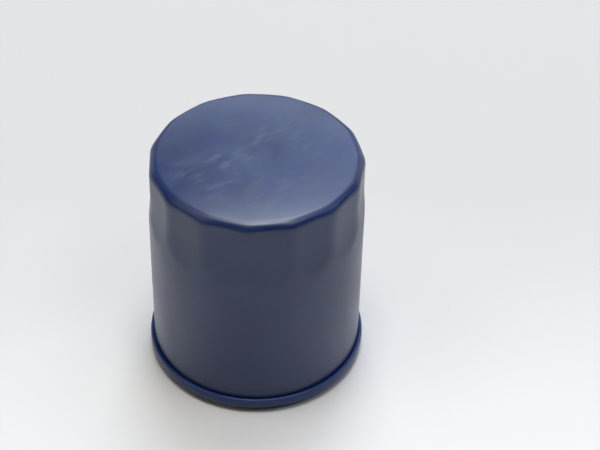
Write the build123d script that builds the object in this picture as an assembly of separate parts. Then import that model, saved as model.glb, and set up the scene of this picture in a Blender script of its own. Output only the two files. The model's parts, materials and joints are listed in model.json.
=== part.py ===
from build123d import *
import math
import os

# A spin-on engine oil filter, standing on its sealing gasket with the domed end of the can up.
# Units are millimetres. The filter's axis is Z, and z = 0 is the plane that the gasket seals on.
# One wrench corner of the can points along +X.
#
# From the outside in: a deep-drawn steel can with wrench flats at its domed end, a seam cover
# rolled to the can in a double seam, a thick threaded base plate, a rubber gasket, a rubber
# anti-drainback diaphragm, a pleated paper element glued into two end caps round a perforated
# centre tube, a sprung bypass valve in the upper end cap, and a leaf spring that holds it all down.

# ---- Driving dimensions ----------------------------------------------------------------------
CAN_RADIUS = 40.0
CAN_WALL = 0.5
TOTAL_HEIGHT = 93.0
DOME_CROWN = 1.0           # how far the end of the can falls from its centre to its rounded edge
DOME_EDGE_RADIUS = 3.6
FLAT_COUNT = 15
FLAT_DISTANCE = 38.8       # from the axis to the middle of a wrench flat
FLAT_LENGTH = 12.0         # straight part of a flat, from the end of the can
FLAT_RUNOUT_RADIUS = 90.0  # a flat curves out to the round wall with this radius

BEAD_RADIUS = 41.65        # outside of the double seam
BEAD_BOTTOM = 2.4
BEAD_TOP = 6.8
COVER_SHEET = 0.5
SHEET_GAP = 0.05           # between sheets that are pressed together in the seam

PLATE_BOTTOM = 6.8
PLATE_THICKNESS = 3.4
PLATE_RADIUS = 38.9
NECK_RADIUS = 13.0
NECK_TOP = 16.3
THREAD_RADIUS = 9.525      # major radius of a 3/4-16 UNF thread
THREAD_CHAMFER = 0.7
INLET_COUNT = 8
INLET_RADIUS = 3.0
INLET_CIRCLE_RADIUS = 21.0

GASKET_INNER = 31.2
GASKET_OUTER = 35.45
GASKET_HEIGHT = 6.25

HUB_TOP = 17.1             # the diaphragm's hub carries the element
HUB_OUTER = 15.0
LIP_RADIUS = 27.6
RUBBER_SKIRT = 1.2

CAP_SHEET = 0.4
CAP_RADIUS = 35.6
CAP_RIM = 4.2
CAP_BEND = 0.35            # inside radius of the caps' bends
UPPER_CAP_TOP = 82.5
TUBE_RADIUS = 14.0
TUBE_WALL = 0.5
GLUE_DEPTH = 2.0
PAPER_EMBEDDED = 1.4       # depth of the pleats' ends in the glue
PLEAT_COUNT = 52
PLEAT_INNER = 15.2
PLEAT_OUTER = 34.4
PAPER = 0.5

PORT_RADIUS = 6.0
SEAT_TOP = 83.6
SEAT_FLOOR = 80.0          # underside of the valve seat, where the rubber face closes on it
CAGE_RADIUS = 11.9
CAGE_FLOOR = 64.0
SPRING_WIRE = 1.2
SPRING_RADIUS = 6.6
SPRING_TURNS = 5.5
STEM_RADIUS = 2.0
LEAF_SHEET = 0.8
LEAF_TOP = 91.7
LEAF_WIDTH = 12.0

# ---- Dimensions that follow ------------------------------------------------------------------
CAN_INNER = CAN_RADIUS - CAN_WALL
DOME_EDGE_HEIGHT = TOTAL_HEIGHT - DOME_CROWN
PLATE_TOP = PLATE_BOTTOM + PLATE_THICKNESS
LOWER_CAP_TOP = HUB_TOP + CAP_SHEET
PAPER_BOTTOM = LOWER_CAP_TOP + GLUE_DEPTH - PAPER_EMBEDDED
PAPER_TOP = UPPER_CAP_TOP - CAP_SHEET - GLUE_DEPTH + PAPER_EMBEDDED
FULL_TURN = 360.0


# ---- Helpers ---------------------------------------------------------------------------------
def offset_corners(corners, distance):
    """The corners of the polyline that runs distance to the left of the given one."""
    moved = []
    last = len(corners) - 1
    for i, (r, z) in enumerate(corners):
        before, after = corners[max(i - 1, 0)], corners[min(i + 1, last)]
        directions = []
        for (r0, z0), (r1, z1) in ((before, (r, z)), ((r, z), after)):
            length = math.hypot(r1 - r0, z1 - z0)
            if length > 0:
                directions.append(((r1 - r0) / length, (z1 - z0) / length))
        (ar, az), (br, bz) = directions[0], directions[-1]
        share = distance / (1 + ar * br + az * bz)
        moved.append((r - (az + bz) * share, z + (ar + br) * share))
    return moved


def turn_sign(before, corner, after):
    """1 where the polyline turns left at a corner, and -1 where it turns right."""
    ar, az = corner[0] - before[0], corner[1] - before[1]
    br, bz = after[0] - corner[0], after[1] - corner[1]
    return 1 if ar * bz - az * br > 0 else -1


def sheet_face(corners, bends, thickness):
    """The section of a bent sheet, from its centreline's corners and the bend radius at each."""
    half = thickness / 2
    signs = [turn_sign(*corners[i:i + 3]) for i in range(len(corners) - 2)]
    left = offset_corners(corners, half)
    right = offset_corners(corners, -half)
    left_bends = [0, *(b - s * half for b, s in zip(bends, signs)), 0]
    right_bends = [0, *(b + s * half for b, s in zip(bends, signs)), 0]
    outline = FilletPolyline(
        *left, *reversed(right), radius=[*left_bends, *reversed(right_bends)], close=True
    )
    return make_face(outline)


def outline_face(points, radii=None):
    """A closed section from its corners, each with its own fillet radius."""
    return make_face(FilletPolyline(*points, radius=radii or [0] * len(points), close=True))


def turned(face):
    """The solid that a section, drawn as radius and height, makes when it turns about Z."""
    return revolve(Plane.XZ * face, Axis.Z, FULL_TURN)


def ring(inner, outer, bottom, top):
    """A plain ring about the axis."""
    return turned(outline_face([(inner, bottom), (outer, bottom), (outer, top), (inner, top)]))


def save(shape, node):
    """Writes one sub-part."""
    shape.label = node
    export_step(shape, f"parts/{node}.step")


# ---- Can -------------------------------------------------------------------------------------
def flat_cutter(inset):
    """What one wrench flat takes off the round can: a straight flat that runs out below in a
    long curve, and turns in above over the can's rounded edge. Inset is the depth in the wall."""
    flat = FLAT_DISTANCE - inset
    edge = DOME_EDGE_RADIUS - inset
    top = DOME_EDGE_HEIGHT - inset
    flat_bottom = DOME_EDGE_HEIGHT - FLAT_LENGTH
    outside = CAN_RADIUS + 5
    rise = outside - flat
    drop = math.sqrt(FLAT_RUNOUT_RADIUS**2 - (FLAT_RUNOUT_RADIUS - rise) ** 2)
    curve_end = (outside, flat_bottom - drop)
    curve_middle_angle = math.asin(drop / FLAT_RUNOUT_RADIUS) / 2
    curve_middle = (
        flat + FLAT_RUNOUT_RADIUS * (1 - math.cos(curve_middle_angle)),
        flat_bottom - FLAT_RUNOUT_RADIUS * math.sin(curve_middle_angle),
    )
    diagonal = edge * math.sqrt(0.5)
    section = make_face([
        ThreePointArc(curve_end, curve_middle, (flat, flat_bottom)),
        Line((flat, flat_bottom), (flat, top - edge)),
        ThreePointArc(
            (flat, top - edge),
            (flat - edge + diagonal, top - edge + diagonal),
            (flat - edge, top),
        ),
        Line((flat - edge, top), (flat - edge, top + 5)),
        Line((flat - edge, top + 5), (outside, top + 5)),
        Line((outside, top + 5), curve_end),
    ])
    half_width = 14.0
    return extrude(Plane.XZ * section, amount=half_width, both=True)


def fluted_bar(inset, bottom):
    """The can's outside, or with an inset its inside: round below, with flats and a dome above."""
    radius, top = CAN_RADIUS - inset, TOTAL_HEIGHT - inset
    edge_height = DOME_EDGE_HEIGHT - inset
    crown_radius = FLAT_DISTANCE - DOME_EDGE_RADIUS
    middle = crown_radius / 2
    section = make_face([
        ThreePointArc(
            (0, top), (middle, top - DOME_CROWN * 0.25), (crown_radius, edge_height)
        ),
        Line((crown_radius, edge_height), (radius, edge_height)),
        Line((radius, edge_height), (radius, bottom)),
        Line((radius, bottom), (0, bottom)),
        Line((0, bottom), (0, top)),
    ])
    bar = turned(section)
    cutter = flat_cutter(inset)
    step = FULL_TURN / FLAT_COUNT
    for k in range(FLAT_COUNT):
        bar -= Rot(0, 0, (k + 0.5) * step) * cutter
    return bar


def canister():
    """The painted can: one drawn shell whose open edge is hooked outwards into the seam."""
    joint_height = 9.0
    shell = fluted_bar(0, joint_height) - fluted_bar(CAN_WALL, joint_height - 1)
    wall = CAN_RADIUS - CAN_WALL / 2
    hook = CAN_RADIUS + COVER_SHEET + 2 * SHEET_GAP + CAN_WALL / 2
    fold_bottom = BEAD_BOTTOM + COVER_SHEET + 2 * SHEET_GAP + CAN_WALL / 2
    bend = 0.545
    hem = sheet_face(
        [(wall, joint_height), (wall, fold_bottom), (hook, fold_bottom), (hook, BEAD_TOP - 1.3)],
        [bend, bend],
        CAN_WALL,
    )
    return shell + turned(hem)


# ---- Base ------------------------------------------------------------------------------------
def seam_cover():
    """The sheet ring welded under the base plate. It holds the gasket in a groove, dips in a
    trench beside it, and its edge is rolled round the can's hook."""
    half = COVER_SHEET / 2
    against_plate = PLATE_BOTTOM - half
    lip = 3.3
    panel = BEAD_BOTTOM + half
    outer_wall = BEAD_RADIUS - half
    hook = CAN_RADIUS + SHEET_GAP + half
    chuck_wall = CAN_INNER - SHEET_GAP - half
    corners = [
        (26.2, against_plate), (29.1, against_plate), (29.1, lip), (30.45, lip),
        (30.45, against_plate), (36.2, against_plate), (36.2, lip), (37.17, lip),
        (37.17, against_plate), (chuck_wall, against_plate), (chuck_wall, panel),
        (outer_wall, panel), (outer_wall, BEAD_TOP - half), (hook, BEAD_TOP - half),
        (hook, BEAD_BOTTOM + 1.6),
    ]
    bends = [0.8, 0.65, 0.65, 0.6, 0.6, 0.475, 0.475, 0.8, 0.8, 1.09, 1.09, 0.545, 0.545]
    return turned(sheet_face(corners, bends, COVER_SHEET))


def seam_sealant():
    """The bead of sealing compound that fills the top of the double seam."""
    middle = (BEAD_RADIUS + CAN_RADIUS + SHEET_GAP) / 2
    half_base, half_crest = 0.25, 0.15
    bottom = BEAD_TOP - 1.25
    crest = bottom + 0.3
    return turned(outline_face([
        (middle - half_base, bottom), (middle + half_base, bottom),
        (middle + half_crest, crest), (middle - half_crest, crest),
    ]))


def base_plate():
    """The thick steel plate that carries the filter: a drawn, threaded neck and a ring of inlets."""
    c = THREAD_CHAMFER
    section = outline_face(
        [
            (THREAD_RADIUS, PLATE_BOTTOM + c), (THREAD_RADIUS + c, PLATE_BOTTOM),
            (PLATE_RADIUS, PLATE_BOTTOM), (PLATE_RADIUS, PLATE_TOP), (NECK_RADIUS, PLATE_TOP),
            (NECK_RADIUS, NECK_TOP), (THREAD_RADIUS + c, NECK_TOP), (THREAD_RADIUS, NECK_TOP - c),
        ],
        [0, 0, 0.5, 1.2, 1.5, 1.0, 0, 0],
    )
    plate = turned(section)
    hole = Pos(INLET_CIRCLE_RADIUS, 0, PLATE_BOTTOM) * Cylinder(
        INLET_RADIUS, 3 * PLATE_THICKNESS
    )
    for k in range(INLET_COUNT):
        plate -= Rot(0, 0, k * FULL_TURN / INLET_COUNT) * hole
    return plate


def sealing_gasket():
    """The square-cut rubber ring that seals against the engine."""
    return turned(outline_face(
        [
            (GASKET_INNER, 0), (GASKET_OUTER, 0),
            (GASKET_OUTER, GASKET_HEIGHT), (GASKET_INNER, GASKET_HEIGHT),
        ],
        [0.35, 0.35, 0.35, 0.35],
    ))


def anti_drainback_valve():
    """The rubber diaphragm. Its hub sits on the neck, and its skirt closes the inlet holes."""
    neck = NECK_RADIUS + 0.05
    seat = PLATE_TOP
    root = 1.5
    skirt_top = seat + 5.7
    lip_top = seat + 1.9
    return turned(outline_face(
        [
            (neck, seat + root), (neck + root, seat), (HUB_OUTER + 0.6, seat),
            (HUB_OUTER + 0.6, skirt_top - 1.6), (LIP_RADIUS - 2.2, lip_top - 0.9),
            (LIP_RADIUS - 1.2, seat), (LIP_RADIUS, seat), (LIP_RADIUS + 0.2, lip_top - 0.3),
            (HUB_OUTER, skirt_top), (HUB_OUTER, HUB_TOP), (neck, HUB_TOP),
        ],
        [0, 0, 0.3, 0.8, 0.5, 0.2, 0.3, 0.6, 0.5, 0.3, 0.3],
    ))


# ---- Element ---------------------------------------------------------------------------------
def lower_end_cap():
    """The stamped cap at the base end, with a rim outside and a collar for the centre tube."""
    flat = HUB_TOP + CAP_SHEET / 2
    collar = TUBE_RADIUS - TUBE_WALL - CAP_SHEET / 2 - CAP_BEND
    rim = CAP_RADIUS - CAP_SHEET / 2
    return turned(sheet_face(
        [(collar, flat + 3.2), (collar, flat), (rim, flat), (rim, HUB_TOP + CAP_RIM)],
        [CAP_BEND + CAP_SHEET / 2, CAP_BEND + CAP_SHEET / 2],
        CAP_SHEET,
    ))


def upper_end_cap():
    """The stamped cap at the dome end. The bypass valve's cage hangs in its collar."""
    flat = UPPER_CAP_TOP - CAP_SHEET / 2
    collar = TUBE_RADIUS - TUBE_WALL - CAP_SHEET / 2 - CAP_BEND
    rim = CAP_RADIUS - CAP_SHEET / 2
    return turned(sheet_face(
        [(collar, flat - 3.2), (collar, flat), (rim, flat), (rim, UPPER_CAP_TOP - CAP_RIM)],
        [CAP_BEND + CAP_SHEET / 2, CAP_BEND + CAP_SHEET / 2],
        CAP_SHEET,
    ))


def centre_tube():
    """The perforated steel tube that the pleats press on."""
    tube = ring(TUBE_RADIUS - TUBE_WALL, TUBE_RADIUS, LOWER_CAP_TOP, UPPER_CAP_TOP - CAP_SHEET)
    rows, pairs, hole_radius, margin = 10, 5, 2.1, 7.0
    bottom, top = LOWER_CAP_TOP + margin, UPPER_CAP_TOP - CAP_SHEET - margin
    row_step = (top - bottom) / (rows - 1)
    drill = Rot(0, 90, 0) * Cylinder(hole_radius, 3 * TUBE_RADIUS)
    turn = FULL_TURN / (2 * pairs)
    for row in range(rows):
        stagger = turn / 2 * (row % 2)
        drills = [
            Pos(0, 0, bottom + row * row_step) * Rot(0, 0, stagger + k * turn) * drill
            for k in range(pairs)
        ]
        tube -= drills
    return tube


def pleat_line():
    """The paper's centreline in plan: an open zigzag whose two ends lie side by side on +X."""
    pitch = 2 * math.pi / PLEAT_COUNT
    half_gap = PAPER / 2 + 0.03
    line = [(PLEAT_OUTER - 0.4, half_gap), (PLEAT_INNER + 9.0, half_gap)]
    for k in range(PLEAT_COUNT):
        inner_angle = (k + 0.5) * pitch
        line.append((PLEAT_INNER * math.cos(inner_angle), PLEAT_INNER * math.sin(inner_angle)))
        if k < PLEAT_COUNT - 1:
            outer_angle = (k + 1) * pitch
            line.append(
                (PLEAT_OUTER * math.cos(outer_angle), PLEAT_OUTER * math.sin(outer_angle))
            )
    line += [(PLEAT_INNER + 9.0, -half_gap), (PLEAT_OUTER - 0.4, -half_gap)]
    return line


def blunt_offset(line, distance):
    """The zigzag moved sideways, with its sharp tips cut back to the paper's own thickness."""
    moved = []
    for i, (x, y) in enumerate(line):
        before, after = line[max(i - 1, 0)], line[min(i + 1, len(line) - 1)]
        normals = []
        for (x0, y0), (x1, y1) in ((before, (x, y)), ((x, y), after)):
            length = math.hypot(x1 - x0, y1 - y0)
            if length > 0:
                normals.append(((y0 - y1) / length, (x1 - x0) / length))
        (ax, ay), (bx, by) = normals[0], normals[-1]
        share = distance / (1 + ax * bx + ay * by)
        mitre = math.hypot(ax + bx, ay + by) * abs(share)
        longest = 2.2 * abs(distance)
        share *= min(1.0, longest / mitre)
        moved.append((x + (ax + bx) * share, y + (ay + by) * share))
    return moved


def filter_media():
    """The pleated paper, with its ends in the glue of both caps."""
    line = pleat_line()
    outline = blunt_offset(line, PAPER / 2) + list(reversed(blunt_offset(line, -PAPER / 2)))
    section = make_face(Polyline(*outline, close=True))
    return extrude(Pos(0, 0, PAPER_BOTTOM) * section, amount=PAPER_TOP - PAPER_BOTTOM)


def pleat_clip():
    """The folded metal strip that clamps the paper's two ends together."""
    sheet = 0.3
    leg = PAPER + 0.08 + sheet / 2
    strip = sheet_face(
        [(PLEAT_OUTER - 6, leg), (PLEAT_OUTER, leg), (PLEAT_OUTER, -leg), (PLEAT_OUTER - 6, -leg)],
        [0.3, 0.3],
        sheet,
    )
    bottom = LOWER_CAP_TOP + GLUE_DEPTH + 0.1
    top = UPPER_CAP_TOP - CAP_SHEET - GLUE_DEPTH - 0.1
    return extrude(Pos(0, 0, bottom) * strip, amount=top - bottom)


def glue_ring(cap_face, depth, paper):
    """The layer of cured adhesive in an end cap, moulded round the pleats' ends."""
    inner, outer = TUBE_RADIUS + 0.05, CAP_RADIUS - CAP_SHEET - 0.05
    layer = turned(outline_face(
        [
            (inner, cap_face), (outer, cap_face),
            (outer, cap_face + depth), (inner, cap_face + depth),
        ],
        [0, CAP_BEND, 0, 0],
    ))
    return layer - paper


# ---- Bypass valve ----------------------------------------------------------------------------
def bypass_cage():
    """The stamped cup under the seat. It has four windows and guides the stem in its floor."""
    sheet = 0.5
    wall = CAGE_RADIUS - sheet / 2
    cup = turned(sheet_face(
        [
            (STEM_RADIUS + 0.25, CAGE_FLOOR - sheet / 2), (wall, CAGE_FLOOR - sheet / 2),
            (wall, UPPER_CAP_TOP + sheet / 2), (16.2, UPPER_CAP_TOP + sheet / 2),
        ],
        [1.2, 0.6],
        sheet,
    ))
    window = Pos(CAGE_RADIUS, 0, CAGE_FLOOR + 9.2) * Box(6, 8, 9)
    for k in range(4):
        cup -= Rot(0, 0, 45 + k * 90) * window
    return cup


def bypass_seat():
    """The dished plate with the bypass port, pressed into the top of the cage."""
    sheet = 0.6
    wall = CAGE_RADIUS - 0.55 - sheet / 2
    floor = SEAT_FLOOR + sheet / 2
    return turned(sheet_face(
        [(PORT_RADIUS, floor), (wall, floor), (wall, SEAT_TOP - sheet / 2),
         (15.6, SEAT_TOP - sheet / 2)],
        [0.6, 0.9],
        sheet,
    ))


def bypass_seal():
    """The rubber face of the valve, closed on the underside of the seat."""
    return ring(4.4, 9.6, SEAT_FLOOR - 1.2, SEAT_FLOOR)


def bypass_poppet():
    """The valve's disc, with a boss through the rubber and a stem down through the spring."""
    face = SEAT_FLOOR - 1.2
    tip = CAGE_FLOOR - 5.5
    return turned(outline_face(
        [
            (0, tip), (STEM_RADIUS, tip), (STEM_RADIUS, face - 2.4), (5.2, face - 2.4),
            (5.2, face - 1.0), (10.2, face - 1.0), (10.2, face), (4.35, face),
            (4.35, SEAT_FLOOR + 0.9), (0, SEAT_FLOOR + 0.9),
        ],
        [0, 0.5, 0.8, 0.4, 0, 0.3, 0.3, 0, 0.7, 0],
    ))


def bypass_spring():
    """The coil between the cage's floor and the poppet's disc."""
    bottom = CAGE_FLOOR + SPRING_WIRE / 2
    top = SEAT_FLOOR - 2.2 - SPRING_WIRE / 2
    coil = Helix((top - bottom) / SPRING_TURNS, top - bottom, SPRING_RADIUS, center=(0, 0, bottom))
    wire = Plane(coil @ 0, z_dir=coil % 0) * Circle(SPRING_WIRE / 2)
    return sweep(wire, path=coil)


# ---- Element spring --------------------------------------------------------------------------
def element_spring():
    """The leaf spring between the element and the dome: a ring with arched legs."""
    top = LEAF_TOP - LEAF_SHEET / 2
    foot = UPPER_CAP_TOP + LEAF_SHEET / 2
    arch = turned(sheet_face(
        [(18.0, top), (25.5, top), (31.0, foot), (33.0, foot), (34.2, foot + 1.2)],
        [6.0, 2.0, 1.2],
        LEAF_SHEET,
    ))
    ring_outer = 24.0
    legs = Box(80, LEAF_WIDTH, 60) + Rot(0, 0, 90) * Box(80, LEAF_WIDTH, 60)
    keep = Pos(0, 0, LEAF_TOP) * (Cylinder(ring_outer, 60) + Rot(0, 0, 45) * legs)
    return arch & keep


def main():
    os.makedirs("parts", exist_ok=True)
    save(canister(), "canister")
    save(seam_cover(), "seam_cover")
    save(seam_sealant(), "seam_sealant")
    save(base_plate(), "base_plate")
    save(sealing_gasket(), "sealing_gasket")
    save(anti_drainback_valve(), "anti_drainback_valve")
    save(lower_end_cap(), "lower_end_cap")
    save(upper_end_cap(), "upper_end_cap")
    save(centre_tube(), "centre_tube")
    media = filter_media()
    save(media, "filter_media")
    save(pleat_clip(), "pleat_clip")
    save(glue_ring(LOWER_CAP_TOP, GLUE_DEPTH, media), "lower_adhesive")
    save(glue_ring(UPPER_CAP_TOP - CAP_SHEET, -GLUE_DEPTH, media), "upper_adhesive")
    save(bypass_cage(), "bypass_cage")
    save(bypass_seat(), "bypass_seat")
    save(bypass_seal(), "bypass_seal")
    save(bypass_poppet(), "bypass_poppet")
    save(bypass_spring(), "bypass_spring")
    save(element_spring(), "element_spring")


main()
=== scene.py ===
"""A spin-on oil filter: the looks of each piece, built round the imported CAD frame.

Sizes are in millimetres until a mesh is made, and every place comes from the CAD model's own frame:
the filter's axis is Z, z = 0 is the gasket's sealing plane, and a wrench corner points along +X.
"""
import json
import math

import bmesh
import bpy
from mathutils import Matrix, Vector, noise

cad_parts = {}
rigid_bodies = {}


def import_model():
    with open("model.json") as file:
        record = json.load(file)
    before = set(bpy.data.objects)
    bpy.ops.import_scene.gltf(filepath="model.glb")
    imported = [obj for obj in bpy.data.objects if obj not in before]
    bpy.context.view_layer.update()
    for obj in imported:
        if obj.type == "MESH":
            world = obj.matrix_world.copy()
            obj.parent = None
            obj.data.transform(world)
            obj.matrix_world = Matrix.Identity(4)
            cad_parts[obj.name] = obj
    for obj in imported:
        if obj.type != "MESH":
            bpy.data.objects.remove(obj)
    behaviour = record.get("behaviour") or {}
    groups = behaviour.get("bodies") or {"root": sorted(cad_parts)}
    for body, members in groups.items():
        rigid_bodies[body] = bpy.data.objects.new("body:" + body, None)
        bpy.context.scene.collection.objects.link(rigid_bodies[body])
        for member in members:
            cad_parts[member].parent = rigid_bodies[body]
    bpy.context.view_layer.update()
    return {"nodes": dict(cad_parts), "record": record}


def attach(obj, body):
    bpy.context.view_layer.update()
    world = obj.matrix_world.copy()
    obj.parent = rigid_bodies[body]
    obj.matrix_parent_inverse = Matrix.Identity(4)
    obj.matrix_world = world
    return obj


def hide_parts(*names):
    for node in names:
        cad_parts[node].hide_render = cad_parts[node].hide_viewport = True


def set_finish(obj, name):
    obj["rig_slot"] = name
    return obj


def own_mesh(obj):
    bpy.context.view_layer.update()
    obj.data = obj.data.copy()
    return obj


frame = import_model()

MM = 0.001
HOUSING = "housing"

# ---- Driving dimensions, as in the CAD model but for the crown --------------------------------
CAN_RADIUS = 40.0
CAN_WALL = 0.5
TOTAL_HEIGHT = 93.0
CROWN = 1.3                # 1.0 in CAD; this dome swells nearer to its edge
EDGE_RADIUS = 3.6
FLAT_COUNT = 15
FLAT_DISTANCE = 38.8
FLAT_LENGTH = 12.0
RUNOUT_RADIUS = 90.0
BEAD_RADIUS = 41.65
BEAD_BOTTOM = 2.4
BEAD_TOP = 6.8
COVER_SHEET = 0.5
SHEET_GAP = 0.05
PLATE_BOTTOM = 6.8
PLATE_TOP = 10.2
PLATE_RADIUS = 38.9
NECK_RADIUS = 13.0
NECK_TOP = 16.3
THREAD_MAJOR = 9.525
THREAD_MINOR = 8.75
THREAD_PITCH = 25.4 / 16
THREAD_CHAMFER = 0.7
INLET_COUNT = 8
INLET_RADIUS = 3.0
INLET_CIRCLE = 21.0
GASKET_INNER = 31.2
GASKET_OUTER = 35.45
GASKET_HEIGHT = 6.25
HUB_TOP = 17.1
HUB_OUTER = 15.0
LIP_RADIUS = 27.6
CAGE_FLOOR = 64.0
SPRING_TOP = 77.8
SPRING_WIRE = 1.2
SPRING_RADIUS = 6.6


# ---- Sections ----------------------------------------------------------------------------------
def rounded(corners, radii, largest_turn=12.0):
    """A closed outline with an arc in place of each corner that has a radius."""
    outline = []
    count = len(corners)
    for i, radius in enumerate(radii):
        corner = Vector(corners[i])
        if radius <= 0:
            outline.append(tuple(corner))
            continue
        before = (Vector(corners[i - 1]) - corner).normalized()
        after = (Vector(corners[(i + 1) % count]) - corner).normalized()
        half_inside = before.angle(after) / 2
        middle = corner + (before + after).normalized() * (radius / math.sin(half_inside))
        start = corner + before * (radius / math.tan(half_inside)) - middle
        turn = math.pi - 2 * half_inside
        if before.x * after.y - before.y * after.x > 0:
            turn = -turn
        steps = max(2, math.ceil(abs(math.degrees(turn)) / largest_turn))
        for k in range(steps + 1):
            cos, sin = math.cos(turn * k / steps), math.sin(turn * k / steps)
            outline.append((
                middle.x + start.x * cos - start.y * sin,
                middle.y + start.x * sin + start.y * cos,
            ))
    return outline


def shifted(corners, distance):
    """The corners of the polyline that runs distance to the left of the given one."""
    moved = []
    for i, corner in enumerate(corners):
        normals = []
        for a, b in ((i - 1, i), (i, i + 1)):
            if a >= 0 and b < len(corners):
                along = (Vector(corners[b]) - Vector(corners[a])).normalized()
                normals.append(Vector((-along.y, along.x)))
        first, last = normals[0], normals[-1]
        step = (first + last) * (distance / (1 + first.dot(last)))
        moved.append((corner[0] + step.x, corner[1] + step.y))
    return moved


def sheet(corners, bends, thickness, start_radius=0.1):
    """The outline of a bent sheet's section, from its centreline and the bend radius at each of
    its corners."""
    half, end_radius = thickness / 2, 0.1
    left_bends, right_bends = [start_radius], [start_radius]
    for i, bend in enumerate(bends):
        a = Vector(corners[i + 1]) - Vector(corners[i])
        b = Vector(corners[i + 2]) - Vector(corners[i + 1])
        side = half if a.x * b.y - a.y * b.x > 0 else -half
        left_bends.append(bend - side)
        right_bends.append(bend + side)
    left_bends.append(end_radius)
    right_bends.append(end_radius)
    left, right = shifted(corners, half), shifted(corners, -half)
    return rounded(left + right[::-1], left_bends + right_bends[::-1])


def spread(start, end, count):
    """Count values from start to end, both included."""
    return [start + (end - start) * k / (count - 1) for k in range(count)]


# ---- Meshes ------------------------------------------------------------------------------------
def make_object(name, vertices, faces):
    """A clean mesh object in metres, in the scene."""
    mesh = bpy.data.meshes.new(name)
    mesh.from_pydata([Vector(v) * MM for v in vertices], [], faces)
    clean = bmesh.new()
    clean.from_mesh(mesh)
    bmesh.ops.remove_doubles(clean, verts=clean.verts, dist=1e-7)
    bmesh.ops.dissolve_degenerate(clean, edges=clean.edges, dist=1e-8)
    bmesh.ops.recalc_face_normals(clean, faces=clean.faces)
    clean.to_mesh(mesh)
    clean.free()
    made = bpy.data.objects.new(name, mesh)
    bpy.context.scene.collection.objects.link(made)
    return made


def install(piece, replaced, slot, sharp_angle=38.0):
    """Smooths a finished piece, fixes it to the housing and lets it stand for a CAD node."""
    piece.data.shade_smooth()
    piece.data.set_sharp_from_angle(angle=math.radians(sharp_angle))
    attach(piece, HOUSING)
    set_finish(piece, slot)
    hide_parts(replaced)


def turned(rows, columns, closed=True):
    """Vertices and faces of rows of points round the axis. Each row is a function that gives the
    radius and height at an angle. A closed section joins its last row to its first."""
    vertices, faces = [], []
    for row in rows:
        for k in range(columns):
            angle = 2 * math.pi * k / columns
            radius, height = row(angle)
            vertices.append((radius * math.cos(angle), radius * math.sin(angle), height))
    count = len(rows)
    for i in range(count if closed else count - 1):
        j = (i + 1) % count
        for k in range(columns):
            n = (k + 1) % columns
            faces.append((i * columns + k, i * columns + n, j * columns + n, j * columns + k))
    return vertices, faces


def plain_rows(outline):
    """Rows of a plain turned piece, with the same radius and height at every angle."""
    return [lambda angle, point=point: point for point in outline]


def lathe(name, outline, columns=240):
    """A plain turned object."""
    return make_object(name, *turned(plain_rows(outline), columns))


def wave(angle, height, seed, around=6.0, up=0.03):
    """A smooth random value from -1 to 1 that closes on itself round the axis."""
    return noise.noise(Vector((
        around * math.cos(angle) + seed, around * math.sin(angle), height * up + seed,
    )))


# ---- Can ---------------------------------------------------------------------------------------
def soft_min(a, b, width):
    """The smaller of two lengths, with a rounded change-over as wide as given."""
    near = max(width - abs(a - b), 0.0) / width
    return min(a, b) - near * near * width / 4


def fluted_radius(flat, round_wall, angle, round_share):
    """The can's radius at an angle, between its flats and its round wall, with soft corners.
    With a round share of 1 the outline is a circle."""
    corner_softness, runout_softness, circle_outside_flats = 1.0, 0.3, 0.35
    step = 2 * math.pi / FLAT_COUNT
    off = abs((angle % step) - step / 2)
    corner = soft_min(flat / math.cos(off), flat / math.cos(step - off), corner_softness)
    fluted = soft_min(corner, round_wall, runout_softness)
    circle = min(flat + circle_outside_flats, round_wall)
    return fluted + (circle - fluted) * round_share


def can_levels(inset):
    """(distance of the flats, radius of the round wall, height, round share) from the dome's
    centre down to the round wall, for the outside or, with an inset, for the inside."""
    flat, wall = FLAT_DISTANCE - inset, CAN_RADIUS - inset
    edge = EDGE_RADIUS - inset
    edge_top = TOTAL_HEIGHT - CROWN - inset
    disc_radius, disc_depth, disc_steepness = 7.5, 0.07, 2.4
    top_round_share = 0.7
    edge_start, crown_power = 83.3, 3.2
    runout_fall = 15.0
    levels = []
    inward = edge * (1 - math.cos(math.radians(edge_start)))
    rim = edge_top - edge * (1 - math.sin(math.radians(edge_start)))
    for share in spread(0.0, 1.0, 40):
        dish = disc_depth / (1 + math.exp((share * flat - disc_radius) * disc_steepness))
        height = rim + CROWN * (1 - share**crown_power) - dish
        levels.append((share * (flat - inward), share * (wall - inward), height, top_round_share))
    for turn in spread(edge_start, 0.0, 16)[1:]:
        out, up = math.cos(math.radians(turn)), math.sin(math.radians(turn))
        drop = edge * (1 - up)
        levels.append((
            flat - edge + edge * out, wall - edge + edge * out, edge_top - drop,
            top_round_share * up,
        ))
    flat_bottom = TOTAL_HEIGHT - CROWN - FLAT_LENGTH
    for height in spread(edge_top - edge, flat_bottom, 7)[1:]:
        levels.append((flat, wall, height, 0.0))
    for fall in spread(0.0, runout_fall, 16)[1:]:
        runout = RUNOUT_RADIUS - math.sqrt(RUNOUT_RADIUS**2 - fall * fall)
        levels.append((flat + runout, wall, flat_bottom - fall, 0.0))
    return levels


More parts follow.
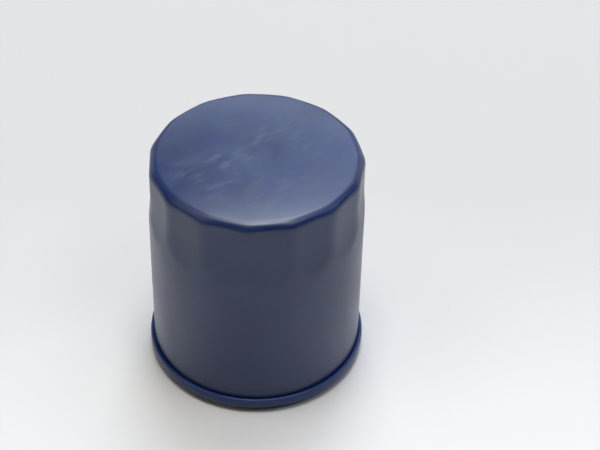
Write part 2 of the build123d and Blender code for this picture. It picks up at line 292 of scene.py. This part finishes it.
def make_canister():
    """The drawn can, with soft wrench corners and its lower edge hooked into the seam."""
    def level_row(level, depth):
        flat, wall, height, round_share = level

        def row(angle):
            radius = fluted_radius(flat, wall, angle, round_share) if flat > 0 else 0.0
            dent = depth * (wave(angle, height, 3.0) - 1) * min(radius / full_dent_radius, 1)
            return radius + dent, height
        return row

    outside, inside = can_levels(0.0), can_levels(CAN_WALL)
    wobble, full_dent_radius = 0.02, 30.0
    wall = CAN_RADIUS - CAN_WALL / 2
    fold = BEAD_BOTTOM + COVER_SHEET + 2 * SHEET_GAP + CAN_WALL / 2
    hook = CAN_RADIUS + COVER_SHEET + 2 * SHEET_GAP + CAN_WALL / 2
    hem_top, hook_top, bend = 9.0, BEAD_TOP - 1.3, 0.545
    hem = sheet(
        [(wall, hem_top), (wall, fold), (hook, fold), (hook, hook_top)],
        [bend, bend], CAN_WALL, start_radius=0.0,
    )
    lowest = outside[-1][2]
    beyond_flats = FLAT_DISTANCE + 2
    rows = [level_row(level, wobble) for level in outside]
    for height in spread(lowest, hem_top, 20)[1:-1]:
        rows.append(level_row((beyond_flats, CAN_RADIUS, height, 0.0), wobble))
    rows += plain_rows(hem)
    for height in spread(hem_top, lowest, 8)[1:-1]:
        rows.append(level_row((beyond_flats, CAN_RADIUS - CAN_WALL, height, 0.0), 0.0))
    rows += [level_row(level, 0.0) for level in reversed(inside)]
    columns_per_flat = 24
    columns = FLAT_COUNT * columns_per_flat
    shell = make_object("canister_shell", *turned(rows, columns, closed=False))
    install(shell, "canister", "can_paint")


# ---- Base --------------------------------------------------------------------------------------
def make_seam_cover():
    """The cover that holds the gasket and is rolled round the can's hook, as a bead."""
    half = COVER_SHEET / 2
    against_plate, lip = PLATE_BOTTOM - half, 3.3
    inner_edge, inner_fold, groove_inner = 26.2, 29.1, 30.45
    groove_outer, outer_fold = 36.2, 37.17
    panel = BEAD_BOTTOM + half
    outer_wall = BEAD_RADIUS - half
    hook = CAN_RADIUS + SHEET_GAP + half
    hook_end = BEAD_BOTTOM + 1.6
    chuck_wall = CAN_RADIUS - CAN_WALL - SHEET_GAP - half
    outline = sheet([
        (inner_edge, against_plate), (inner_fold, against_plate), (inner_fold, lip),
        (groove_inner, lip), (groove_inner, against_plate), (groove_outer, against_plate),
        (groove_outer, lip), (outer_fold, lip), (outer_fold, against_plate),
        (chuck_wall, against_plate), (chuck_wall, panel), (outer_wall, panel),
        (outer_wall, BEAD_TOP - half), (hook, BEAD_TOP - half), (hook, hook_end),
    ], [0.8, 0.65, 0.65, 0.6, 0.6, 0.475, 0.475, 0.8, 0.8, 1.09, 1.09, 0.545, 0.545], COVER_SHEET)
    fullness, unevenness = 0.42, 0.04

    def bead_row(point):
        radius, height = point
        on_outer_wall = min(max((radius - outer_wall) / half, 0.0), 1.0)
        from_middle = abs(2 * height - BEAD_TOP - BEAD_BOTTOM) / (BEAD_TOP - BEAD_BOTTOM)
        bulge = fullness * from_middle**2

        def row(angle):
            rolled_in = unevenness * (1 - wave(angle, height, 9.0, around=9.0, up=0.0)) / 2
            return radius - on_outer_wall * (rolled_in + bulge), height
        return row

    cover = make_object("seam_cover_rolled", *turned([bead_row(p) for p in outline], 360))
    install(cover, "seam_cover", "cover_paint")


def thread_row(height):
    """A row of the bore, cut by a right-handed thread that a chamfer opens at both ends."""
    crest_half, flank = 0.13, 0.31
    from_end = min(height - PLATE_BOTTOM, NECK_TOP - height)
    chamfer = THREAD_MAJOR + THREAD_CHAMFER - from_end

    def row(angle):
        turns = height / THREAD_PITCH - angle / (2 * math.pi)
        from_crest = abs(turns - round(turns))
        cut = min(max((from_crest - crest_half) / flank, 0.0), 1.0)
        radius = THREAD_MINOR + (THREAD_MAJOR - THREAD_MINOR) * cut
        return max(radius, chamfer), height
    return row


def make_base_plate():
    """The thick plate, with its thread and the eased edges of its inlets."""
    outside = rounded([
        (THREAD_MAJOR + THREAD_CHAMFER, PLATE_BOTTOM), (PLATE_RADIUS, PLATE_BOTTOM),
        (PLATE_RADIUS, PLATE_TOP), (NECK_RADIUS, PLATE_TOP), (NECK_RADIUS, NECK_TOP),
        (THREAD_MAJOR + THREAD_CHAMFER, NECK_TOP),
    ], [0.0, 0.5, 1.2, 1.5, 1.0, 0.0])
    rows_per_pitch, sharp_angle = 14, 32.0
    steps = round((NECK_TOP - PLATE_BOTTOM) / THREAD_PITCH * rows_per_pitch)
    bore = [thread_row(height) for height in spread(NECK_TOP, PLATE_BOTTOM, steps)[1:-1]]
    plate = make_object("base_plate_threaded", *turned(plain_rows(outside) + bore, 144))
    eased, beyond = 0.35, 1.0
    flared = INLET_RADIUS + 3.0
    cutters = []
    for k in range(INLET_COUNT):
        angle = 2 * math.pi * k / INLET_COUNT
        profile = rounded([
            (0.0, PLATE_BOTTOM - beyond), (flared, PLATE_BOTTOM - beyond),
            (flared, PLATE_BOTTOM), (INLET_RADIUS, PLATE_BOTTOM), (INLET_RADIUS, PLATE_TOP),
            (flared, PLATE_TOP), (flared, PLATE_TOP + beyond), (0.0, PLATE_TOP + beyond),
        ], [0.0, 0.0, 0.0, eased, eased, 0.0, 0.0, 0.0], largest_turn=18.0)
        cutter = lathe("inlet_cutter", profile, 48)
        cutter.matrix_world = Matrix.Translation(
            Vector((math.cos(angle), math.sin(angle), 0)) * INLET_CIRCLE * MM
        )
        cutters.append(cutter)
    for cutter in cutters:
        cut = plate.modifiers.new("inlet", "BOOLEAN")
        cut.object = cutter
        cut.solver = "EXACT"
    bpy.context.view_layer.update()
    finished = plate.evaluated_get(bpy.context.evaluated_depsgraph_get())
    mesh = bpy.data.meshes.new_from_object(finished)
    plate.modifiers.clear()
    plate.data = mesh
    for cutter in cutters:
        bpy.data.objects.remove(cutter)
    install(plate, "base_plate", "plate_steel", sharp_angle)


def make_gasket():
    """The moulded ring, with rounded edges and a fine parting line outside."""
    line, line_half, line_depth = GASKET_HEIGHT * 0.55, 0.12, 0.08
    edge = 0.4
    outline = rounded([
        (GASKET_INNER, 0.0), (GASKET_OUTER, 0.0), (GASKET_OUTER, line - line_half),
        (GASKET_OUTER - line_depth, line), (GASKET_OUTER, line + line_half),
        (GASKET_OUTER, GASKET_HEIGHT), (GASKET_INNER, GASKET_HEIGHT),
    ], [edge, edge, 0.0, 0.0, 0.0, edge, edge])
    install(lathe("gasket_ring", outline, 300), "sealing_gasket", "nitrile_rubber")


def make_diaphragm():
    """The anti-drainback diaphragm, in two pieces: a hub on the neck, and a skirt whose lip rests
    on the plate.
    """
    neck = NECK_RADIUS + 0.05
    root = 1.5
    flange = HUB_OUTER + 0.6
    columns = 192
    skirt_top = PLATE_TOP + 5.7
    hub = lathe("diaphragm_hub", rounded([
        (neck, PLATE_TOP + root), (neck + root, PLATE_TOP), (flange, PLATE_TOP),
        (flange, skirt_top), (HUB_OUTER, HUB_TOP), (neck, HUB_TOP),
    ], [0.0, 0.0, 0.3, 0.2, 0.3, 0.3]), columns)
    install(hub, "anti_drainback_valve", "silicone_rubber")
    lip_top = PLATE_TOP + 1.9
    inside_flange = HUB_OUTER + 0.2
    skirt = lathe("diaphragm_skirt", rounded([
        (inside_flange, skirt_top - 1.5), (HUB_OUTER + 2.0, skirt_top - 1.9),
        (19.5, skirt_top - 3.3), (LIP_RADIUS - 2.2, lip_top - 0.9), (LIP_RADIUS - 1.2, PLATE_TOP),
        (LIP_RADIUS, PLATE_TOP), (LIP_RADIUS + 0.15, lip_top - 0.3), (20.0, skirt_top - 1.95),
        (HUB_OUTER + 2.4, skirt_top - 0.5), (inside_flange, skirt_top),
    ], [0.0, 0.8, 1.5, 0.5, 0.2, 0.3, 0.6, 1.5, 0.8, 0.0]), columns)
    install(skirt, "anti_drainback_valve", "silicone_rubber")
    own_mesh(skirt)


# ---- Bypass spring -----------------------------------------------------------------------------
def make_bypass_spring():
    """The coil, with a closed turn at each end and its wire's ends cut square."""
    turns, closed_turns, per_turn, sides = 6.5, 0.9, 40, 14
    bottom, top = CAGE_FLOOR + SPRING_WIRE / 2, SPRING_TOP - SPRING_WIRE / 2
    steps = round(turns * per_turn)
    closed_pitch = SPRING_WIRE * 1.03
    open_turns = turns - 2 * closed_turns
    open_pitch = (top - bottom - 2 * closed_turns * closed_pitch) / open_turns

    def height_at(turn):
        if turn < closed_turns:
            return bottom + turn * closed_pitch
        if turn > turns - closed_turns:
            return top - (turns - turn) * closed_pitch
        return bottom + closed_turns * closed_pitch + (turn - closed_turns) * open_pitch

    vertices, faces = [], []
    for k in range(steps + 1):
        turn = turns * k / steps
        angle = 2 * math.pi * turn
        for side in range(sides):
            across = 2 * math.pi * side / sides
            radius = SPRING_RADIUS + SPRING_WIRE / 2 * math.cos(across)
            height = height_at(turn) + SPRING_WIRE / 2 * math.sin(across)
            vertices.append((radius * math.cos(angle), radius * math.sin(angle), height))
    for k in range(steps):
        for side in range(sides):
            n = (side + 1) % sides
            faces.append((
                k * sides + side, k * sides + n, (k + 1) * sides + n, (k + 1) * sides + side,
            ))
    faces.append(tuple(range(sides)))
    faces.append(tuple(steps * sides + side for side in range(sides)))
    spring = make_object("bypass_coil", vertices, faces)
    install(spring, "bypass_spring", "spring_wire", 50.0)
    height = SPRING_TOP - CAGE_FLOOR
    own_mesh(spring)


# ---- Materials ---------------------------------------------------------------------------------
class Material:
    """A material on one Principled shader, with short calls for the nodes that feed it."""

    def __init__(self, name, colour, roughness, metallic=0.0):
        self.made = bpy.data.materials.new(name)
        self.made.use_nodes = True
        self.made.diffuse_color = (*colour, 1.0)
        self.tree = self.made.node_tree
        self.shader = self.tree.nodes["Principled BSDF"]
        self.set("Base Color", colour)
        self.set("Roughness", roughness)
        self.set("Metallic", metallic)
        where = self.tree.nodes.new("ShaderNodeTexCoord")
        self.place = self.vector("MULTIPLY", where.outputs["Object"], (1000.0, 1000.0, 1000.0))

    def set(self, name, value):
        """Sets one of the shader's own sockets to a constant or to a node's output."""
        self.put(self.shader.inputs[name], value)

    def put(self, socket, value):
        """Sets any socket to a constant or to a node's output."""
        if isinstance(value, bpy.types.NodeSocket):
            self.tree.links.new(value, socket)
        elif socket.type == "RGBA":
            socket.default_value = (*value, 1.0)
        else:
            socket.default_value = value

    def math(self, operation, a, b=0.0):
        node = self.tree.nodes.new("ShaderNodeMath")
        node.operation = operation
        self.put(node.inputs[0], a)
        self.put(node.inputs[1], b)
        return node.outputs[0]

    def vector(self, operation, a, b=(0.0, 0.0, 0.0)):
        node = self.tree.nodes.new("ShaderNodeVectorMath")
        node.operation = operation
        self.put(node.inputs[0], a)
        self.put(node.inputs[1], b)
        return node.outputs["Value" if operation == "LENGTH" else "Vector"]

    def turned(self, degrees):
        """The place, turned about the axis."""
        node = self.tree.nodes.new("ShaderNodeVectorRotate")
        node.rotation_type = "Z_AXIS"
        self.put(node.inputs["Vector"], self.place)
        self.put(node.inputs["Angle"], math.radians(degrees))
        return node.outputs["Vector"]

    def noise(self, size, detail=2.0, stretch=(1.0, 1.0, 1.0), distortion=0.0, place=None):
        """Noise whose grains are about size millimetres, longer along an axis by its stretch."""
        scale = tuple(1.0 / (size * s) for s in stretch)
        node = self.tree.nodes.new("ShaderNodeTexNoise")
        self.put(node.inputs["Vector"], self.vector("MULTIPLY", place or self.place, scale))
        node.inputs["Scale"].default_value = 1.0
        node.inputs["Detail"].default_value = detail
        node.inputs["Distortion"].default_value = distortion
        return node.outputs["Fac"]

    def cells(self, size):
        """A random value for each irregular cell of about size millimetres."""
        node = self.tree.nodes.new("ShaderNodeTexVoronoi")
        scale = (1.0 / size, 1.0 / size, 1.0 / size)
        self.put(node.inputs["Vector"], self.vector("MULTIPLY", self.place, scale))
        node.inputs["Scale"].default_value = 1.0
        split = self.tree.nodes.new("ShaderNodeSeparateColor")
        self.put(split.inputs[0], node.outputs["Color"])
        return split.outputs[0]

    def span(self, value, low, high, to_low=0.0, to_high=1.0):
        """Maps low to high onto to_low to to_high, smoothly and with both ends held."""
        node = self.tree.nodes.new("ShaderNodeMapRange")
        node.interpolation_type = "SMOOTHSTEP"
        for socket, given in zip(node.inputs, (value, low, high, to_low, to_high)):
            self.put(socket, given)
        return node.outputs["Result"]

    def mix(self, share, a, b):
        """A colour between a and b."""
        node = self.tree.nodes.new("ShaderNodeMix")
        node.data_type = "RGBA"
        for socket, value in zip((node.inputs[0], node.inputs[6], node.inputs[7]), (share, a, b)):
            self.put(socket, value)
        return node.outputs[2]

    def blend(self, share, a, b):
        """A number between a and b."""
        node = self.tree.nodes.new("ShaderNodeMix")
        for socket, value in zip((node.inputs[0], node.inputs[2], node.inputs[3]), (share, a, b)):
            self.put(socket, value)
        return node.outputs[0]

    def bump(self, height, depth_mm):
        """Adds relief: height runs from 0 to 1 over a depth in millimetres."""
        node = self.tree.nodes.new("ShaderNodeBump")
        node.inputs["Strength"].default_value = 1.0
        node.inputs["Distance"].default_value = depth_mm * MM
        self.put(node.inputs["Height"], height)
        self.set("Normal", node.outputs["Normal"])

    def radius(self):
        """Distance from the filter's axis, in millimetres."""
        return self.vector("LENGTH", self.vector("MULTIPLY", self.place, (1.0, 1.0, 0.0)))

    def along(self, axis):
        """The place along X, Y or Z, in millimetres."""
        node = self.tree.nodes.new("ShaderNodeSeparateXYZ")
        self.put(node.inputs[0], self.place)
        return node.outputs[axis]


NAVY = (0.0078, 0.0186, 0.075)
NAVY_LIGHT = (0.0102, 0.0238, 0.091)
# a lighter, bluer navy for the bead: painted light
BEAD_PAINTED_LIGHT_NAVY = (0.013, 0.037, 0.16)
HANDLING_HAZE = (0.03, 0.046, 0.1)
RUBBED = (0.15, 0.2, 0.33)
PAINT_ROUGHNESS = 0.31


def enamel(m):
    """The satin navy of the outside, with a faint haze from handling: its colour and roughness."""
    patches = m.noise(18.0, 1.0)
    colour = m.mix(m.span(patches, 0.3, 0.7), NAVY, NAVY_LIGHT)
    haze = m.noise(15.0, 3.0, stretch=(1.0, 1.0, 1.6))
    colour = m.mix(m.span(haze, 0.42, 0.72, 0.0, 0.2), colour, HANDLING_HAZE)
    smears = m.noise(11.0, 1.5, stretch=(1.0, 1.0, 1.8))
    rough = m.span(smears, 0.25, 0.75, PAINT_ROUGHNESS - 0.03, PAINT_ROUGHNESS + 0.04)
    return colour, rough


def can_paint():
    """Satin navy enamel, lightly rubbed on the dome."""
    m = Material("navy_enamel", NAVY, PAINT_ROUGHNESS)
    colour, rough = enamel(m)
    on_dome = m.span(m.along("Z"), TOTAL_HEIGHT - 1.5, TOTAL_HEIGHT - 0.8)
    strokes = m.noise(2.6, 3.0, stretch=(2.6, 1.0, 1.0), place=m.turned(-35.0))
    where = m.noise(12.0, 1.0)
    scuffs = m.math("MULTIPLY", m.span(strokes, 0.42, 0.78), m.span(where, 0.4, 0.66))
    scuffs = m.math("MULTIPLY", scuffs, on_dome)
    colour = m.mix(m.math("MULTIPLY", scuffs, 0.13), colour, RUBBED)
    m.set("Base Color", colour)
    m.set("Roughness", m.math("ADD", rough, m.math("MULTIPLY", scuffs, 0.12)))
    m.bump(m.noise(2.2, 1.0), 0.01)
    return m.made


def cover_paint():
    """The same enamel, made lighter and bluer on the cover as painted light on the bead, which
    thins to bare tinned steel under the base.
    """
    m = Material("navy_enamel_over_tinned_steel", NAVY, PAINT_ROUGHNESS)
    colour, rough = enamel(m)
    # half-way to a lighter, bluer navy: painted light on the bead
    colour = m.mix(0.5, colour, BEAD_PAINTED_LIGHT_NAVY)
    reach = m.math("ADD", m.radius(), m.math("MULTIPLY", m.noise(3.0, 3.0), 2.4))
    painted = m.span(reach, 39.2, 41.3)
    steel = m.mix(m.noise(2.0, 4.0), (0.36, 0.35, 0.33), (0.5, 0.49, 0.46))
    m.set("Base Color", m.mix(painted, steel, colour))
    m.set("Metallic", m.math("SUBTRACT", 1.0, painted))
    m.set("Roughness", m.blend(painted, m.span(m.noise(1.2, 3.0), 0.3, 0.7, 0.3, 0.45), rough))
    m.set("Specular IOR Level", m.blend(painted, 0.5, 0.32))
    m.bump(m.noise(1.6, 1.0), 0.008)
    return m.made


def plate_steel():
    """Hot-rolled plate under a film of oil, darker in blotches."""
    m = Material("oiled_plate_steel", (0.3, 0.29, 0.27), 0.42, 1.0)
    blotches = m.noise(5.0, 5.0, distortion=1.0)
    m.set("Base Color", m.mix(m.span(blotches, 0.3, 0.7), (0.19, 0.18, 0.17), (0.38, 0.37, 0.34)))
    m.set("Roughness", m.span(m.noise(2.0, 4.0), 0.3, 0.7, 0.3, 0.52))
    m.bump(m.noise(0.35, 4.0), 0.012)
    return m.made


def rubber(name, colour, roughness, grain):
    """Moulded rubber with a fine grain and greasy patches."""
    m = Material(name, colour, roughness)
    lighter = tuple(min(c * 1.5 + 0.004, 1.0) for c in colour)
    m.set("Base Color", m.mix(m.span(m.noise(4.0, 4.0), 0.35, 0.7), colour, lighter))
    m.set("Roughness", m.span(m.noise(6.0, 3.0), 0.35, 0.65, roughness - 0.16, roughness + 0.08))
    m.bump(m.noise(grain, 3.0), 0.012)
    return m.made


def sheet_steel(name, colour, roughness, rolled=(1.0, 12.0, 1.0)):
    """Cold-rolled sheet, streaked along the direction it was rolled in."""
    m = Material(name, colour, roughness, 1.0)
    darker = tuple(c * 0.8 for c in colour)
    streaks = m.noise(0.8, 4.0, stretch=rolled)
    m.set("Base Color", m.mix(m.span(streaks, 0.3, 0.7), darker, colour))
    m.set("Roughness", m.span(m.noise(3.0, 4.0), 0.3, 0.7, roughness - 0.06, roughness + 0.08))
    m.bump(streaks, 0.003)
    return m.made


def galvanised_steel():
    """Zinc-coated sheet with its spangle."""
    m = Material("galvanised_steel", (0.5, 0.51, 0.52), 0.38, 1.0)
    spangle = m.cells(2.2)
    m.set("Base Color", m.mix(spangle, (0.38, 0.39, 0.41), (0.6, 0.61, 0.62)))
    m.set("Roughness", m.span(spangle, 0.0, 1.0, 0.3, 0.46))
    m.bump(m.noise(0.6, 3.0), 0.004)
    return m.made


def filter_paper():
    """Resin-treated paper: short fibres, and darker where the resin is thick."""
    m = Material("filter_paper", (0.62, 0.4, 0.15), 0.85)
    fibres = m.noise(0.25, 4.0, stretch=(1.0, 1.0, 3.0), distortion=1.5)
    resin = m.noise(7.0, 3.0)
    colour = m.mix(m.span(resin, 0.35, 0.7), (0.66, 0.44, 0.18), (0.5, 0.3, 0.1))
    m.set("Base Color", m.mix(m.span(fibres, 0.35, 0.7, 0.0, 0.35), colour, (0.8, 0.62, 0.34)))
    m.bump(fibres, 0.05)
    return m.made


def cast_resin(name, colour, roughness):
    """Adhesive or sealing compound, poured and cured."""
    m = Material(name, colour, roughness)
    lighter = tuple(min(c * 1.25, 1.0) for c in colour)
    m.set("Base Color", m.mix(m.span(m.noise(3.0, 3.0), 0.35, 0.65), colour, lighter))
    m.set("Roughness", m.span(m.noise(2.0, 2.0), 0.35, 0.65, roughness - 0.1, roughness + 0.1))
    m.bump(m.noise(1.6, 2.0), 0.06)
    return m.made


def moulded_nylon():
    """Black glass-filled nylon."""
    m = Material("black_nylon", (0.018, 0.018, 0.02), 0.5)
    m.set("Roughness", m.span(m.noise(1.0, 4.0), 0.3, 0.7, 0.42, 0.6))
    m.bump(m.noise(0.2, 3.0), 0.01)
    return m.made


def tempered_steel():
    """Spring strip, blued by its heat treatment, more in some places than in others."""
    m = Material("tempered_strip", (0.3, 0.32, 0.36), 0.35, 1.0)
    heat = m.noise(12.0, 2.0)
    m.set("Base Color", m.mix(m.span(heat, 0.35, 0.65), (0.2, 0.23, 0.31), (0.42, 0.38, 0.32)))
    m.set("Roughness", m.span(m.noise(2.0, 4.0), 0.3, 0.7, 0.28, 0.42))
    m.bump(m.noise(0.5, 3.0), 0.004)
    return m.made


def dress(piece, material):
    """Gives a piece or a CAD node one material."""
    piece.data.materials.clear()
    piece.data.materials.append(material)


def dress_everything():
    """Every visual piece and every CAD node takes the material of its record slot."""
    finishes = {
        "can_paint": can_paint(),
        "cover_paint": cover_paint(),
        "sealant": cast_resin("sealing_compound", (0.45, 0.36, 0.22), 0.5),
        "plate_steel": plate_steel(),
        "nitrile_rubber": rubber("nitrile_rubber", (0.012, 0.012, 0.013), 0.55, 0.3),
        "silicone_rubber": rubber("silicone_rubber", (0.62, 0.13, 0.03), 0.5, 0.5),
        "tinplate": sheet_steel("tinplate", (0.62, 0.62, 0.6), 0.28),
        "galvanised_steel": galvanised_steel(),
        "filter_paper": filter_paper(),
        "cap_adhesive": cast_resin("cap_adhesive", (0.33, 0.3, 0.26), 0.4),
        "valve_steel": sheet_steel("zinc_plated_steel", (0.6, 0.55, 0.42), 0.33),
        "nylon": moulded_nylon(),
        "spring_wire": sheet_steel("drawn_wire", (0.42, 0.42, 0.42), 0.32, (1.0, 1.0, 1.0)),
        "leaf_steel": tempered_steel(),
    }
    for part in frame["record"]["subparts"]:
        dress(frame["nodes"][part["node"]], finishes[part["material_slot"]])
    for piece in bpy.context.scene.objects:
        if "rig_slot" in piece:
            dress(piece, finishes[piece["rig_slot"]])


make_canister()
make_seam_cover()
make_base_plate()
make_gasket()
make_diaphragm()
make_bypass_spring()
dress_everything()


# ---- Stage, lights and camera ------------------------------------------------------------------
def make_floor():
    """A seamless floor of pale matt paper, lighter in front as painted light and darker behind the
    filter as painted shade.
    """
    half_size = 3000.0
    floor = make_object("floor", [
        (-half_size, -half_size, 0), (half_size, -half_size, 0),
        (half_size, half_size, 0), (-half_size, half_size, 0),
    ], [(0, 1, 2, 3)])
    # the paper's tone runs from painted light in front to painted shade behind
    painted_light_front_tone, painted_shade_back_tone, fade = (0.69, 0.68, 0.664), (0.545, 0.532, 0.515), 120.0
    paper = Material("pale_paper", painted_light_front_tone, 0.9)
    behind = paper.span(paper.along("Y"), -fade, fade)
    paper.set("Base Color", paper.mix(behind, painted_light_front_tone, painted_shade_back_tone))
    paper.set("Specular IOR Level", 0.0)
    dress(floor, paper.made)


def area_light(name, azimuth, elevation, size, power, colour=(1.0, 1.0, 1.0)):
    """A soft rectangular light that faces the filter. Azimuth 0 is to the right of the camera and
    90 is behind the filter, in degrees. The size and power are those of a light 1.5 m away. It
    stands further off and is larger by as much, which lights the filter alike and the floor
    more evenly."""
    given_distance, distance, aim_height = 1.5, 3.75, 0.05
    growth = distance / given_distance
    around, up = math.radians(azimuth), math.radians(elevation)
    outwards = Vector((
        math.cos(up) * math.cos(around), math.cos(up) * math.sin(around), math.sin(up),
    ))
    data = bpy.data.lights.new(name, "AREA")
    data.shape = "RECTANGLE"
    data.size, data.size_y = size[0] * growth, size[1] * growth
    data.energy = power * growth**2
    data.color = colour
    light = bpy.data.objects.new(name, data)
    light.matrix_world = (
        Matrix.Translation(outwards * distance + Vector((0, 0, aim_height)))
        @ outwards.to_track_quat("Z", "Y").to_matrix().to_4x4()
    )
    bpy.context.scene.collection.objects.link(light)


def make_lights():
    """A bright room: a softbox overhead, another behind that draws the gleam along the dome's
    front edge, windows behind to the right, and pale walls behind and to both sides."""
    world = bpy.data.worlds.new("studio")
    world.use_nodes = True
    background = world.node_tree.nodes["Background"]
    background.inputs["Color"].default_value = (1.0, 1.0, 1.0, 1.0)
    background.inputs["Strength"].default_value = 0.02
    bpy.context.scene.world = world
    cool, warm = (0.8, 1.0, 1.55), (1.0, 0.92, 0.72)
    area_light("overhead", 270, 87, (0.6, 0.45), 12.6)
    area_light("window_high", 52, 60, (0.7, 0.6), 1.4, (0.9, 1.0, 1.12))
    area_light("window_low", 55, 42, (0.8, 0.5), 1.9, (0.88, 1.0, 1.3))
    area_light("gleam", 84, 67, (0.5, 0.7), 10.8, (0.95, 1.0, 1.03))
    area_light("back_high", 78, 42, (0.5, 0.7), 1.15, cool)
    area_light("back_wall", 90, 24, (0.9, 0.5), 3.1, (0.9, 1.0, 1.1))
    area_light("right_low", 48, 14, (0.8, 0.6), 1.8)
    area_light("left_low", 130, 14, (0.8, 0.6), 1.1)
    area_light("right_front", 325, 60, (0.6, 0.5), 3.2)
    area_light("right_wall", 0, 35, (0.6, 0.5), 1.5, cool)
    area_light("left_high", 180, 60, (0.6, 0.5), 1.7)
    area_light("left_wall", 200, 32, (0.9, 0.6), 2.0, warm)


def make_camera():
    """A short telephoto lens, looking down at the filter, which stands a little left of centre."""
    tilt = math.radians(41.51)
    roll = math.radians(-1.41)
    turn = math.radians(-3.0)
    distance = 630.5
    right_of_object, above_object = 16.37, 8.75
    forward = Vector((0, math.cos(tilt), -math.sin(tilt)))
    right = Vector((1, 0, 0))
    up = right.cross(forward)
    rolled_right = right * math.cos(roll) - up * math.sin(roll)
    rolled_up = right * math.sin(roll) + up * math.cos(roll)
    place = Vector((0, 0, TOTAL_HEIGHT / 2)) - forward * distance
    place += rolled_right * right_of_object + rolled_up * above_object
    axes = Matrix((rolled_right, rolled_up, -forward)).transposed()
    data = bpy.data.cameras.new("camera")
    data.lens = 99.99
    data.sensor_width = 36.0
    data.clip_start = 0.01
    data.clip_end = 20.0
    camera = bpy.data.objects.new("camera", data)
    camera.matrix_world = (
        Matrix.Rotation(turn, 4, "Z") @ Matrix.Translation(place * MM) @ axes.to_4x4()
    )
    bpy.context.scene.collection.objects.link(camera)
    bpy.context.scene.camera = camera


make_floor()
make_lights()
make_camera()
bpy.context.scene.view_settings.view_transform = "Standard"
